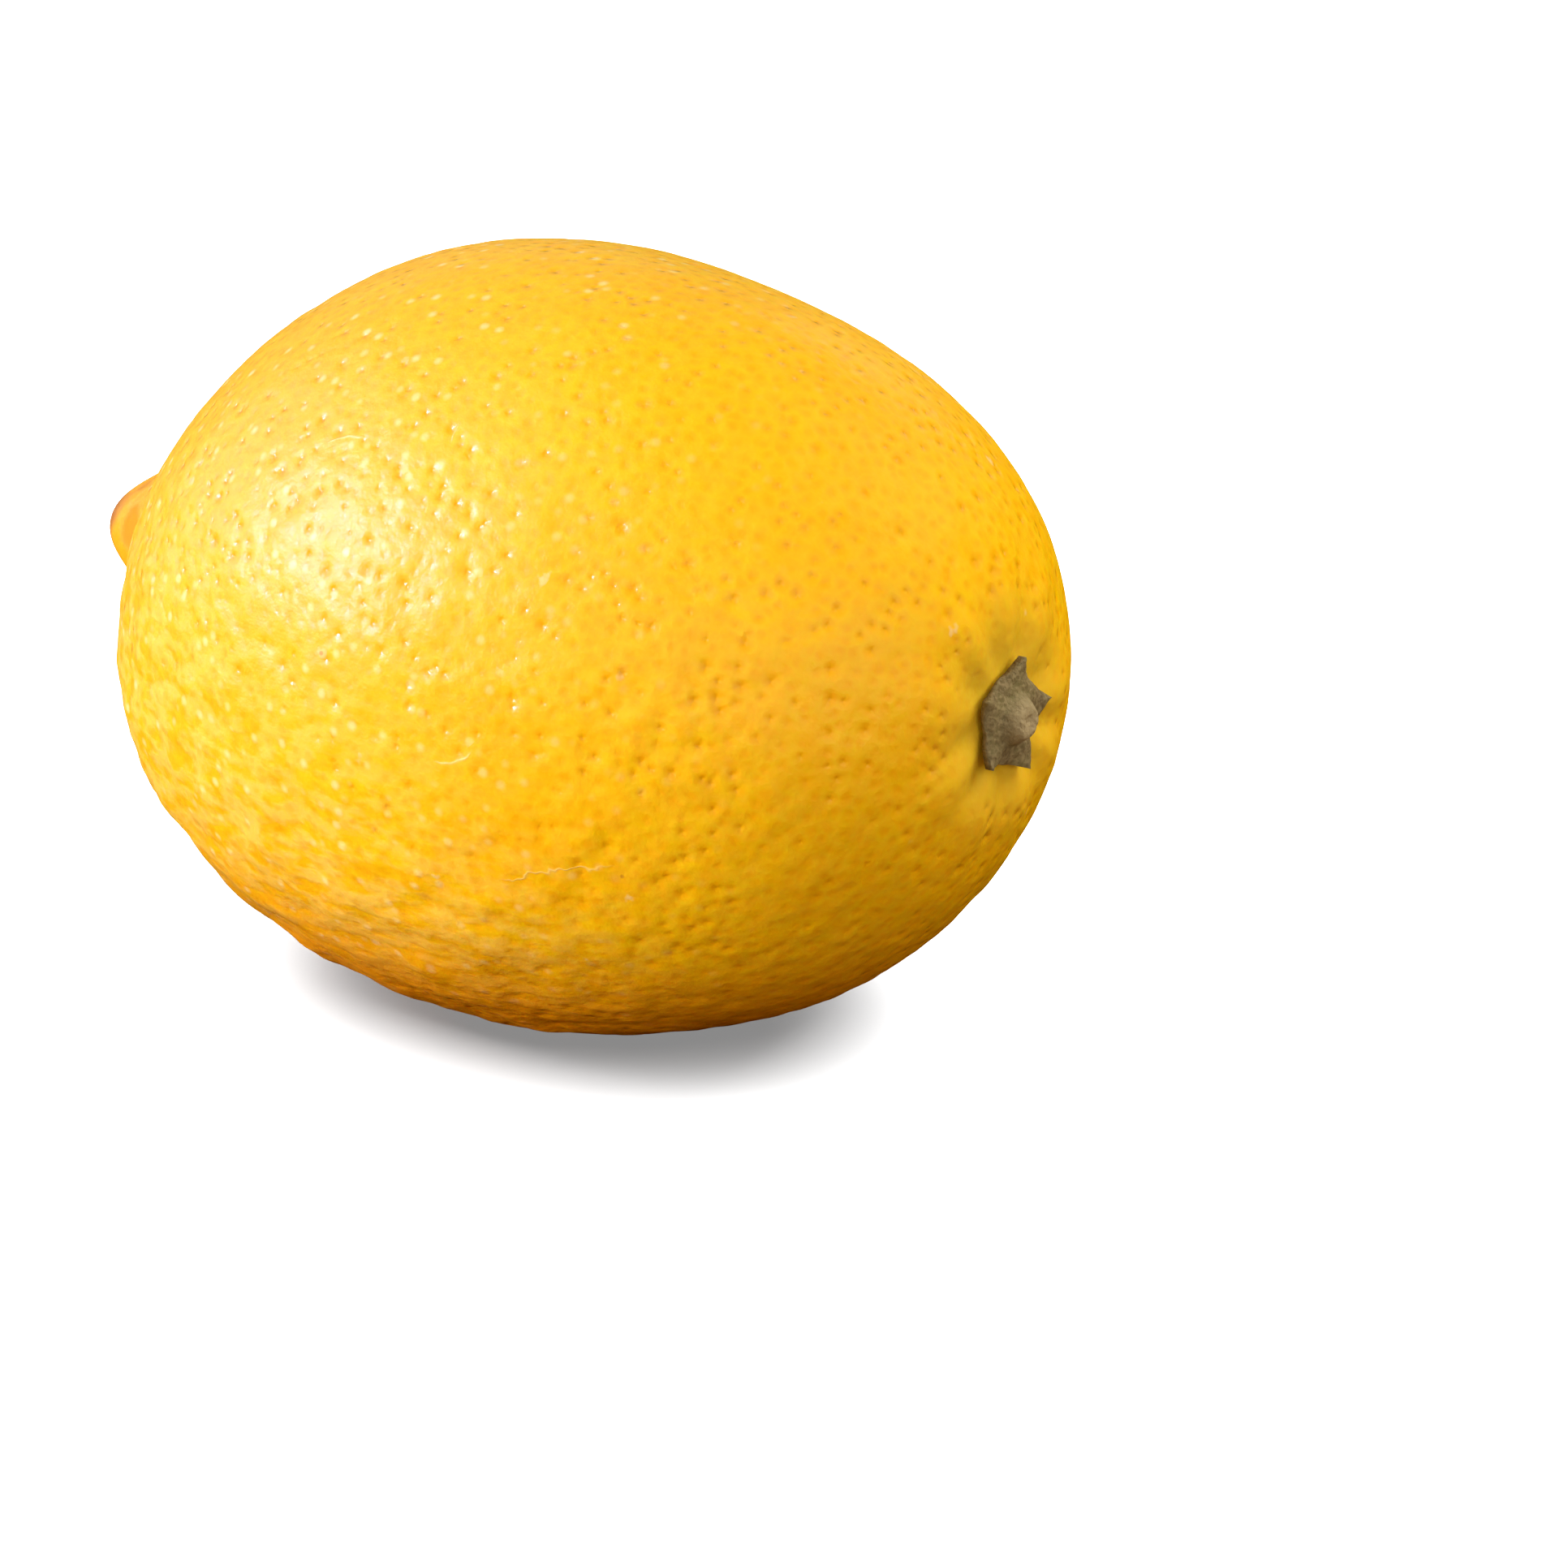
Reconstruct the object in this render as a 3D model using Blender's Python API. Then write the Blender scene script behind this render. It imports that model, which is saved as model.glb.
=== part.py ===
"""A whole lemon, lying on its side on a small flat spot.

Two pieces: the fruit, which grew as one solid, and the dry five-lobed button (the calyx, with a stub
of the twig) that stays in the dimple at the stem end when the fruit is cut from the tree.

Metres, +Z up. The stem end points along +X and is tipped up a little, and the blossom end's nipple
points along -X. The origin is under the middle of the lemon's box, on the surface that it rests on.
"""

from math import acos, atan2, cos, exp, hypot, pi, radians, sin

import bmesh
import bpy
from mathutils import Matrix, Vector

# The body, before its nipple and dimple: distances from the middle of the fruit.
HALF_WIDTH = 0.0300
BLOSSOM_LENGTH = 0.0385
STEM_LENGTH = 0.0383
BLOSSOM_TAPER = 1.02        # a power on the section's sine: above 1 is more pointed, below 1 blunter
STEM_TAPER = 0.97

# The nipple, a steep bump a little off the axis, and the dimple around the button.
NIPPLE_HEIGHT = 0.0082
NIPPLE_RADIUS = 0.0057
NIPPLE_POWER = 2.4
NIPPLE_OFFSET = (0.0007, 0.0013)
DIMPLE_DEPTH = 0.0014
DIMPLE_RADIUS = 0.0065
DIMPLE_POWER = 4

# Broad, low swellings and hollows that make the fruit uneven: direction from its middle, and height.
SWELLING_SPREAD = 0.34
SWELLINGS = [
    ((0.20, 0.55, 0.80), -0.0008),
    ((-0.10, 0.40, 0.90), -0.0002),
    ((-0.45, 0.20, 0.90), 0.0002),
    ((-0.75, -0.10, 0.65), -0.0004),
    ((-0.75, -0.60, -0.20), 0.0012),
    ((-0.50, -0.65, -0.55), 0.0010),
    ((-0.10, -0.50, -0.85), 0.0006),
]

# The button: a lobed disc with the cut stub of the twig in its middle.
BUTTON_RADIUS = 0.0042
BUTTON_THICKNESS = 0.0008
BUTTON_LOBES = 5
LOBE_DEPTH = 0.13
STUB_RADIUS = 0.0017
STUB_HEIGHT = 0.0012
STUB_POWER = 4
SEAT_GAP = 0.0003

# How it lies: the stem end tipped up, and the underside flattened by its own weight.
TILT = radians(3.8)
FLAT_DEPTH = 0.0007
SLAB_SIZE = 0.12

# The fineness of the two meshes.
FRUIT_AROUND = 72
FRUIT_RINGS = 44
RING_CROWDING = 0.25        # 0 spaces the rings evenly, and more than 0 crowds them at the two ends
BUTTON_AROUND = 40
BUTTON_RINGS = 24


def bump(distance, radius, power):
    """A smooth bump of height 1: flat-topped for a high power, and gone well outside the radius."""
    return exp(-(distance / radius) ** power)


def fruit_point(unit):
    """Moves a point of the unit sphere, whose poles are the lemon's ends, onto the fruit's skin."""
    step = acos(max(-1.0, min(1.0, -unit.x))) / pi
    along = pi * step - RING_CROWDING * sin(2 * pi * step)
    around = atan2(unit.z, unit.y)

    stemward = 0.5 - 0.5 * cos(along)
    length = BLOSSOM_LENGTH + (STEM_LENGTH - BLOSSOM_LENGTH) * stemward
    taper = BLOSSOM_TAPER + (STEM_TAPER - BLOSSOM_TAPER) * stemward
    radius = HALF_WIDTH * max(0.0, sin(along)) ** taper
    point = Vector((-length * cos(along), radius * cos(around), radius * sin(around)))

    facing = Vector((point.x * HALF_WIDTH / BLOSSOM_LENGTH, point.y, point.z))
    swelling = sum(
        height * bump(facing.angle(Vector(direction)), SWELLING_SPREAD, 2)
        for direction, height in SWELLINGS
    )
    point *= 1 + swelling / HALF_WIDTH

    if point.x < 0:
        off_axis = hypot(point.y - NIPPLE_OFFSET[0], point.z - NIPPLE_OFFSET[1])
        point.x -= NIPPLE_HEIGHT * bump(off_axis, NIPPLE_RADIUS, NIPPLE_POWER)
    else:
        off_axis = hypot(point.y, point.z)
        point.x -= DIMPLE_DEPTH * bump(off_axis, DIMPLE_RADIUS, DIMPLE_POWER)
    return point


def button_point(unit):
    """Moves a point of the unit sphere onto the button: flat below, lobed rim, stub in the middle."""
    spread = hypot(unit.y, unit.z)
    around = atan2(unit.z, unit.y)
    radius = BUTTON_RADIUS * spread * (1 + LOBE_DEPTH * spread**2 * cos(BUTTON_LOBES * around))

    seat = STEM_LENGTH - DIMPLE_DEPTH + SEAT_GAP
    rise = 0.0
    if unit.x > -0.01:
        rise = BUTTON_THICKNESS + STUB_HEIGHT * bump(radius, STUB_RADIUS, STUB_POWER)
    return Vector((seat + rise, radius * cos(around), radius * sin(around)))


def make_material(name, colour, roughness):
    """A plain Principled material for one piece."""
    material = bpy.data.materials.new(name)
    material.use_nodes = True
    shader = material.node_tree.nodes["Principled BSDF"]
    shader.inputs["Base Color"].default_value = (*colour, 1.0)
    shader.inputs["Roughness"].default_value = roughness
    shader.inputs["Metallic"].default_value = 0.0
    return material


def make_piece(name, collection, material, around, rings, shape):
    """A UV sphere with its poles on X, each of whose points is then moved by the shape function."""
    mesh_data = bmesh.new()
    bmesh.ops.create_uvsphere(
        mesh_data,
        u_segments=around,
        v_segments=rings,
        radius=1.0,
        matrix=Matrix.Rotation(pi / 2, 4, "Y"),
    )
    for vertex in mesh_data.verts:
        vertex.co = shape(vertex.co.normalized())
    bmesh.ops.recalc_face_normals(mesh_data, faces=mesh_data.faces)

    mesh = bpy.data.meshes.new(name)
    mesh_data.to_mesh(mesh)
    mesh_data.free()
    mesh.shade_smooth()
    mesh.materials.append(material)
    piece = bpy.data.objects.new(name, mesh)
    collection.objects.link(piece)
    return piece


def lay_down(axis, pieces):
    """Tips the lemon, and sets it over the origin with its underside FLAT_DEPTH into the surface."""
    axis.rotation_euler = (0.0, -TILT, 0.0)
    tip = axis.rotation_euler.to_matrix()
    points = [tip @ vertex.co for piece in pieces for vertex in piece.data.vertices]
    low = [min(point[i] for point in points) for i in range(3)]
    high = [max(point[i] for point in points) for i in range(3)]
    axis.location = (-(low[0] + high[0]) / 2, -(low[1] + high[1]) / 2, -low[2] - FLAT_DEPTH)
    for piece in pieces:
        piece.parent = axis


def cut_flat_spot(fruit, collection):
    """Cuts the underside flat at z = 0 with a slab that fills the space below it."""
    mesh_data = bmesh.new()
    bmesh.ops.create_cube(mesh_data, size=SLAB_SIZE)
    mesh = bpy.data.meshes.new("surface_slab")
    mesh_data.to_mesh(mesh)
    mesh_data.free()
    slab = bpy.data.objects.new("surface_slab", mesh)
    slab.location = (0.0, 0.0, -SLAB_SIZE / 2)
    slab.hide_render = True
    slab.display_type = "WIRE"
    collection.objects.link(slab)

    cut = fruit.modifiers.new("flat_spot", "BOOLEAN")
    cut.operation = "DIFFERENCE"
    cut.solver = "EXACT"
    cut.object = slab


def main():
    for existing in list(bpy.data.objects):
        bpy.data.objects.remove(existing, do_unlink=True)
    lemon = bpy.data.collections.new("lemon")
    cutters = bpy.data.collections.new("cutters")
    bpy.context.scene.collection.children.link(lemon)
    bpy.context.scene.collection.children.link(cutters)

    rind = make_material("rind", (0.95, 0.55, 0.02), 0.42)
    dry_button = make_material("dry_button", (0.30, 0.22, 0.10), 0.85)

    fruit = make_piece("fruit", lemon, rind, FRUIT_AROUND, FRUIT_RINGS, fruit_point)
    button = make_piece(
        "stem_button", lemon, dry_button, BUTTON_AROUND, BUTTON_RINGS, button_point
    )

    axis = bpy.data.objects.new("lemon_axis", None)
    lemon.objects.link(axis)
    lay_down(axis, [fruit, button])
    cut_flat_spot(fruit, cutters)


main()
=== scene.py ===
"""The looks of a whole lemon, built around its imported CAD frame.

Two pieces are made here. The fruit's skin is one closed surface, worked out from the same driving
dimensions as the CAD solid, with dents, furrows and more than seven thousand oil-gland pits added.
The stem button is a lobed, wrinkled disc with the cut stub of the twig in its middle. Each replaces
its CAD node and rides on the one body.

Metres, +Z up. A place on the skin is given by step, from 0 at the blossom end's nipple to 1 at the
stem end, and around, the angle about the fruit's axis from +Y towards +Z.
"""

from itertools import product
from math import cos, pi, radians, sin

import bpy
import numpy as np
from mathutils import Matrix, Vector


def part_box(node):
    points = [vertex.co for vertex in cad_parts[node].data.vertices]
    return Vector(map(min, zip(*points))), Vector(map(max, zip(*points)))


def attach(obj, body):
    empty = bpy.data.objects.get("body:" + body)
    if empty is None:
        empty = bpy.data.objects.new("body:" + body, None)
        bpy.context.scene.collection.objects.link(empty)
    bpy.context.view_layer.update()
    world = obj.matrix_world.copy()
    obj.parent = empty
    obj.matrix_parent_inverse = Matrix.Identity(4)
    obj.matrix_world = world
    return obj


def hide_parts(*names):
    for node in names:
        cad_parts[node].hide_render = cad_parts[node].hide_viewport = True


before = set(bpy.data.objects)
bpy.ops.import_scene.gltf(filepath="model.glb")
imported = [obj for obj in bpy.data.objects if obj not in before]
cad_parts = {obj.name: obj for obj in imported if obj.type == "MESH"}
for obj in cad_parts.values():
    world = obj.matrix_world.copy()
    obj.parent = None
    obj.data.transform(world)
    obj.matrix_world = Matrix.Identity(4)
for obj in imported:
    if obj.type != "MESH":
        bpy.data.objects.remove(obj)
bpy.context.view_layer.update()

# ---------------------------------------------------------------- driving dimensions

# The body, as in the CAD: half width, lengths to the two ends, and the tapers of the two ends.
HALF_WIDTH = 0.0300
BLOSSOM_LENGTH = 0.0385
STEM_LENGTH = 0.0383
BLOSSOM_TAPER = 1.02
STEM_TAPER = 0.97
NIPPLE_HEIGHT = 0.0082
NIPPLE_RADIUS = 0.0057
NIPPLE_POWER = 2.4
NIPPLE_OFFSET = (0.0007, 0.0013)
DIMPLE_DEPTH = 0.0014
DIMPLE_RADIUS = 0.0065
DIMPLE_POWER = 4
SWELLING_SPREAD = 0.34
SWELLINGS = [
    ((0.20, 0.55, 0.80), -0.0008),
    ((-0.10, 0.40, 0.90), -0.0002),
    ((-0.45, 0.20, 0.90), 0.0002),
    ((-0.75, -0.10, 0.65), -0.0004),
    ((-0.75, -0.60, -0.20), 0.0012),
    ((-0.50, -0.65, -0.55), 0.0010),
    ((-0.10, -0.50, -0.85), 0.0006),
]
TILT = radians(3.8)
REST_SOFTNESS = 0.0004          # how gently the flat spot runs into the round underside

# The skin's grid. It makes 2 * SKIN_AROUND * SKIN_ROWS triangles, which stays under 200,000.
SKIN_AROUND = 400
SKIN_ROWS = 249
PROFILE_STEPS = 4000

# Oil glands. Each kind has its radius, depth and strength of colour at the least and at the most.
GLAND_PITCH = 0.00136
GLAND_JITTER = 0.40
GLAND_SEED = 11
LARGE_SHARE = 0.26              # the share of the glands that are large and deep
LARGE_GLAND = ((0.00036, 0.00054), (0.000055, 0.000100), (0.65, 0.95))
SMALL_GLAND = ((0.00027, 0.00039), (0.000010, 0.000045), (0.55, 0.90))
PORE_SHARE = 0.42               # the radius of a deep gland's steep little pore, over the gland's
PORE_DEPTH = 0.000060
OUTLINE_PUSH = 0.00022          # how far noise pushes the glands' outlines about
NET_WIDTH = 0.00055             # the width of the pale net that runs between the glands

# The stem button.
BUTTON_RADIUS = 0.0040
BUTTON_THICKNESS = 0.0007
BUTTON_LOBES = 5
LOBE_DEPTH = 0.30
STUB_RADIUS = 0.0017
STUB_HEIGHT = 0.0012
SEAT_GAP = 0.0003
BUTTON_AROUND = 200
BUTTON_RINGS = 110

# The camera: its direction from the fruit, its distance, and how far the fruit's middle stands to
# the left of and above the middle of the view.
CAMERA_AZIMUTH = 33.9
CAMERA_ELEVATION = 25.0
CAMERA_DISTANCE = 0.62
CAMERA_LENS = 187.0
LEFT_OF_VIEW = 0.01435
ABOVE_VIEW = 0.01143

# The floor: half its side, the grey that the camera sees, the dim lemon brown of the light that it
# bounces, and its glow near the fruit and far out, at the two distances between which it rises.
FLOOR_HALF_SIDE = 3.0
FLOOR_GREY = (0.22, 0.22, 0.22)
FLOOR_BOUNCE = (0.012, 0.0052, 0.0001)
FLOOR_GLOW = (0.25, 1.30)
FLOOR_GLOW_REACH = (0.12, 0.60)

# Softboxes: azimuth, elevation, distance, width, height, power, and what each lights: the fruit's
# colour, its gloss, or the table. Each kind has its own tint.
SOFTBOXES = {
    "left": (-35.0, 16.0, 0.80, 0.60, 0.40, 9.4, "colour"),
    "front": (30.0, 25.0, 0.80, 0.60, 0.40, 1.6, "colour"),
    "right": (80.0, 20.0, 0.80, 0.60, 0.40, 2.2, "colour"),
    "behind_right": (140.0, 45.0, 0.80, 0.60, 0.60, 6.4, "colour"),
    "key_shine": (-52.0, 24.0, 0.70, 0.42, 0.30, 5.2, "gloss"),
    "spark_shine": (-50.0, 27.0, 0.70, 0.14, 0.12, 1.2, "gloss"),
    "wide_shine": (-70.0, 18.0, 0.80, 1.10, 0.70, 3.6, "gloss"),
    "far_shine": (-105.0, 25.0, 0.80, 1.60, 1.10, 2.4, "far gloss"),
    "high_shine": (-45.0, 55.0, 0.80, 0.80, 0.70, 1.2, "gloss"),
    "rim_shine": (-172.0, 20.0, 0.70, 0.30, 0.20, 0.25, "far gloss"),
    "behind": (-146.0, 4.0, 0.80, 0.60, 0.30, 4.2, "colour"),
    "table": (0.0, 90.0, 1.00, 2.40, 2.40, 510.0, "table"),
}
TINTS = {
    "colour": (1.0, 1.0, 1.0),
    "gloss": (1.0, 0.56, 1.05),
    "far gloss": (1.0, 0.82, 0.80),
    "table": (1.0, 1.0, 1.0),
}


# ---------------------------------------------------------------- small sums

def unit(vectors):
    """Vectors made one long."""
    return vectors / np.maximum(np.linalg.norm(vectors, axis=-1, keepdims=True), 1e-12)


def bump(distance, radius, power):
    """A smooth bump of height 1: flat-topped for a high power, and gone well outside the radius."""
    return np.exp(-(np.abs(distance) / radius) ** power)


def ease(low, high, value):
    """0 below low, 1 above high, and a smooth S between them."""
    t = np.clip((value - low) / (high - low), 0.0, 1.0)
    return t * t * (3.0 - 2.0 * t)


def between(limits, share):
    """The value that lies at a share of the way from the first limit to the second."""
    low, high = limits
    return low + (high - low) * share


def noise(points, size, seed):
    """Smooth noise from -1 to 1: random numbers on a cubic lattice with cells of the given size,
    each weighted by an S-shaped fall-off along the three directions of its cell. The lattice repeats
    itself after as many cells as its side."""
    side = 32
    lattice = np.random.default_rng(seed).uniform(-1.0, 1.0, (side, side, side))
    place = points / size + 1000.0
    corner = np.floor(place).astype(int)
    inside = place - corner
    inside = inside * inside * (3.0 - 2.0 * inside)
    total = np.zeros(points.shape[:-1])
    for offset in product((0, 1), repeat=3):
        share = np.prod(np.where(offset, inside, 1.0 - inside), axis=-1)
        cell = (corner + offset) % side
        total += share * lattice[cell[..., 0], cell[..., 1], cell[..., 2]]
    return total


# ---------------------------------------------------------------- the fruit's shape

def body(step, around):
    """The smooth fruit about its own axis, before it lies down.

    The polar angle is pi times step. The point lies at minus the length times its cosine along the
    axis, on a circle of the half width times its sine to the power of the taper. It is then scaled
    by the broad swellings, each a bell in the angle from its direction. Last, the blossom end is
    drawn out by the nipple's steep bump and the stem end pushed in by the dimple's flat-topped one.
    """
    step, around = np.broadcast_arrays(step, around)
    along = pi * step
    stemward = 0.5 - 0.5 * np.cos(along)
    length = BLOSSOM_LENGTH + (STEM_LENGTH - BLOSSOM_LENGTH) * stemward
    taper = BLOSSOM_TAPER + (STEM_TAPER - BLOSSOM_TAPER) * stemward
    radius = HALF_WIDTH * np.maximum(np.sin(along), 1e-9) ** taper
    points = np.stack(
        [-length * np.cos(along), radius * np.cos(around), radius * np.sin(around)], axis=-1
    )

    facing = unit(points * (HALF_WIDTH / BLOSSOM_LENGTH, 1.0, 1.0))
    swelling = np.zeros(step.shape)
    for towards, height in SWELLINGS:
        angle = np.arccos(np.clip(facing @ unit(np.array(towards)), -1.0, 1.0))
        swelling += height * bump(angle, SWELLING_SPREAD, 2)
    points = points * (1.0 + swelling / HALF_WIDTH)[..., None]

    x, y, z = np.moveaxis(points, -1, 0)
    off_nipple = np.hypot(y - NIPPLE_OFFSET[0], z - NIPPLE_OFFSET[1])
    nipple = NIPPLE_HEIGHT * bump(off_nipple, NIPPLE_RADIUS, NIPPLE_POWER)
    dimple = DIMPLE_DEPTH * bump(np.hypot(y, z), DIMPLE_RADIUS, DIMPLE_POWER)
    return np.stack([x - np.where(x < 0.0, nipple, dimple), y, z], axis=-1)


def outward(step, around):
    """The smooth fruit's outward normals, from its slopes along and around."""
    reach = 2e-4
    along = body(step + reach, around) - body(step - reach, around)
    across = body(step, around + reach) - body(step, around - reach)
    return unit(np.cross(across, along))


def relief(points, around):
    """How high the skin stands over the smooth fruit.

    It is a sum of smooth noises, each a height times a noise of its own size: wide dents, small
    bumps, pebbles, and furrows drawn out along the axis. Bumps and furrows are strong low on the
    front of the blossom end, where the skin is cobbled. Pebbles come in patches, and most of them
    lie on the lower front. All of them fade out on the nipple and in the dimple. Around the stem,
    folds run out from the dimple: a wave around the axis within a ring about the button.
    """
    facing = unit(points * (HALF_WIDTH / BLOSSOM_LENGTH, 1.0, 1.0))
    cobbled = ease(0.35, 0.95, facing @ unit(np.array((-0.55, -0.55, -0.62))))
    front = ease(-0.15, 0.75, facing @ unit(np.array((-0.10, -0.75, -0.40))))
    pebbled = np.clip(0.30 + 0.35 * noise(points, 0.0130, 9) + 0.70 * front, 0.2, 1.3)
    off_axis = np.hypot(points[..., 1], points[..., 2])
    plain = ease(0.006, 0.011, off_axis)

    dents = 0.00014 * noise(points, 0.0105, 3) + 0.00022 * noise(points, 0.0190, 4)
    bumps = (0.00004 + 0.00024 * cobbled) * noise(points, 0.0036, 5)
    furrows = (0.00003 + 0.00012 * cobbled) * noise(points * (0.5, 1.0, 1.0), 0.0026, 6)
    pebbles = 0.000090 * noise(points, 0.0019, 7) + 0.000090 * noise(points, 0.0012, 10)

    ring = ease(0.0030, 0.0055, off_axis) * (1.0 - ease(0.0070, 0.0150, off_axis))
    wander = 1.1 * noise(points, 0.0060, 8)
    folds = 0.00022 * ring * np.cos(9.0 * around + wander) * (points[..., 0] > 0.0)
    return plain * (dents + bumps + furrows + pebbled * pebbles) + folds


def tip(vectors):
    """Turns vectors from the fruit's own frame by its tilt, the stem end up."""
    x, y, z = np.moveaxis(vectors, -1, 0)
    return np.stack([x * cos(TILT) - z * sin(TILT), y, x * sin(TILT) + z * cos(TILT)], axis=-1)


def find_middle():
    """Where the fruit's middle lies in the frame: its smooth body, tipped, fills the CAD node's box."""
    step = np.linspace(0.0, 1.0, 361)[:, None]
    around = np.linspace(0.0, 2.0 * pi, 361)[None, :]
    tipped = tip(body(step, around)).reshape(-1, 3)
    low, high = (np.array(corner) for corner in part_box("fruit"))
    centre_y = (low[1] + high[1] - tipped[:, 1].min() - tipped[:, 1].max()) / 2.0
    return np.array([low[0] - tipped[:, 0].min(), centre_y, high[2] - tipped[:, 2].max()])


MIDDLE = find_middle()


def skin(step, around):
    """The skin in the frame, without its pits: body plus relief along the normal, tipped and set in
    place. Heights near the surface that it rests on are eased to stay just above it."""
    smooth = body(step, around)
    normals = outward(step, around)
    points = tip(smooth + normals * relief(smooth, around)[..., None]) + MIDDLE
    height = points[..., 2]
    points[..., 2] = 0.5 * (height + np.sqrt(height**2 + REST_SOFTNESS**2))
    return points, tip(normals)


def measure_profile():
    """Steps along one side of the smooth fruit, and at each the distance travelled and the distance
    from the axis."""
    step = np.linspace(0.0, 1.0, PROFILE_STEPS)
    points = body(step, np.full(PROFILE_STEPS, pi))
    travelled = np.linalg.norm(np.diff(points, axis=0), axis=1).cumsum()
    return step, np.concatenate([[0.0], travelled]), np.hypot(points[:, 1], points[:, 2])


PROFILE_STEP, PROFILE_DISTANCE, PROFILE_RADIUS = measure_profile()


# ---------------------------------------------------------------- oil glands

def lay_out_glands():
    """Oil glands in rings a pitch apart, each ring with as many as its girth takes, every second
    ring shifted by half a place, and each gland moved at random by up to GLAND_JITTER of a pitch.

    Returns the number in each ring, and arrays by ring and place of the glands' points and of their
    radius, depth and strength of colour. A ring with fewer glands than the widest one leaves its
    last places unused. The glands are small and shallow or large and deep. They fade out on the
    nipple and in the dimple, are shallower low on the front, and patches of the skin have them
    deeper than others.
    """
    random = np.random.default_rng(GLAND_SEED)
    rings = int(PROFILE_DISTANCE[-1] / GLAND_PITCH)
    middle = (np.arange(rings) + 0.5) * GLAND_PITCH
    girth = 2.0 * pi * np.interp(middle, PROFILE_DISTANCE, PROFILE_RADIUS)
    count = np.maximum(3, np.round(girth / GLAND_PITCH)).astype(int)

    shape = (rings, count.max())
    shift = random.uniform(-GLAND_JITTER, GLAND_JITTER, shape + (2,))
    place = np.arange(count.max())[None, :] + 0.5 * (np.arange(rings)[:, None] % 2) + shift[..., 0]
    around = 2.0 * pi * place / count[:, None]
    distance = middle[:, None] + GLAND_PITCH * shift[..., 1]
    step = np.clip(np.interp(distance, PROFILE_DISTANCE, PROFILE_STEP), 0.002, 0.998)
    points, _ = skin(step, around)

    large = random.uniform(size=shape) < LARGE_SHARE
    spread = random.uniform(size=shape)
    radius, depth, strength = (
        np.where(large, between(of_large, spread), between(of_small, spread))
        for of_large, of_small in zip(LARGE_GLAND, SMALL_GLAND)
    )

    own = body(step, around)
    off_axis = np.hypot(own[..., 1], own[..., 2])
    present = ease(0.0035, 0.0085, off_axis)
    low_front = ease(0.10, 0.90, unit(own * (0.8, 1.0, 1.0)) @ unit(np.array((-0.15, -0.60, -0.70))))
    patch = 0.95 + 0.40 * noise(own, 0.0120, 12) - 0.50 * low_front
    return count, points, np.stack([radius, depth * present * patch, strength * present], axis=-1)


GLAND_COUNT, GLAND_POINTS, GLAND_SIZES = lay_out_glands()


def nearest_glands(points, step, around):
    """The points and sizes of the two glands nearest to each given point, which are looked for among
    three places in each of three rings."""
    rings = len(GLAND_COUNT)
    distance = np.interp(step, PROFILE_STEP, PROFILE_DISTANCE)
    here = np.floor(distance / GLAND_PITCH).astype(int)
    centres = []
    sizes = []
    for ring_shift in (-1, 0, 1):
        ring = np.clip(here + ring_shift, 0, rings - 1)
        count = GLAND_COUNT[ring]
        place = np.round(around * count / (2.0 * pi) - 0.5 * (ring % 2)).astype(int)
        for place_shift in (-1, 0, 1):
            slot = (place + place_shift) % count
            centres.append(GLAND_POINTS[ring, slot])
            sizes.append(GLAND_SIZES[ring, slot])
    centres = np.stack(centres, axis=-2)
    sizes = np.stack(sizes, axis=-2)
    away = np.linalg.norm(points[..., None, :] - centres, axis=-1)
    order = np.argsort(away, axis=-1)
    first = order[..., 0]
    # At the two ends a gland can turn up twice, so the second is the next one at another distance.
    repeats = np.isclose(np.take_along_axis(away, order, -1), away.min(-1, keepdims=True), atol=1e-9)
    second = np.take_along_axis(order, repeats.sum(-1)[..., None].clip(max=8), -1)[..., 0]
    chosen = np.stack([first, second], axis=-1)[..., None]
    return np.take_along_axis(centres, chosen, -2), np.take_along_axis(sizes, chosen, -2)


def pit_depth(offset, size):
    """A pit's depth: its greatest depth times a bell in the distance over its radius."""
    return size[..., 1] * bump(np.linalg.norm(offset, axis=-1), size[..., 0], 2)


# ---------------------------------------------------------------- meshes

def new_piece(name, points, faces):
    """A smooth-shaded mesh object at the origin, with its place in its mesh."""
    mesh = bpy.data.meshes.new(name)
    mesh.from_pydata(points.tolist(), [], faces)
    mesh.shade_smooth()
    piece = bpy.data.objects.new(name, mesh)
    bpy.context.scene.collection.objects.link(piece)
    return piece


def globe_faces(rows, columns):
    """Faces of a closed grid: vertex 0 is the first pole, then rows of columns, then the last pole.
    Quads join the rows, and fans of triangles close the poles. They face outwards when the rows run
    towards +X and the columns turn from +Y to +Z."""
    row = np.arange(rows - 1)[:, None]
    column = np.arange(columns)[None, :]
    after = (column + 1) % columns
    first = 1 + row * columns
    quads = np.stack(
        [first + column, first + after, first + columns + after, first + columns + column], axis=-1
    ).reshape(-1, 4)
    last_row = 1 + (rows - 1) * columns
    pole = 1 + rows * columns
    ring = np.arange(columns)
    start = np.stack([np.zeros(columns, int), 1 + (ring + 1) % columns, 1 + ring], axis=-1)
    end = np.stack([np.full(columns, pole), last_row + ring, last_row + (ring + 1) % columns], axis=-1)
    return quads, start, end


def add_attribute(mesh, name, kind, domain, values):
    """Stores an array on the mesh under a name that its material reads."""
    made = mesh.attributes.new(name, kind, domain)
    field = "vector" if kind == "FLOAT_VECTOR" else "value"
    made.data.foreach_set(field, np.ascontiguousarray(values, dtype=np.float32).ravel())


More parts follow.
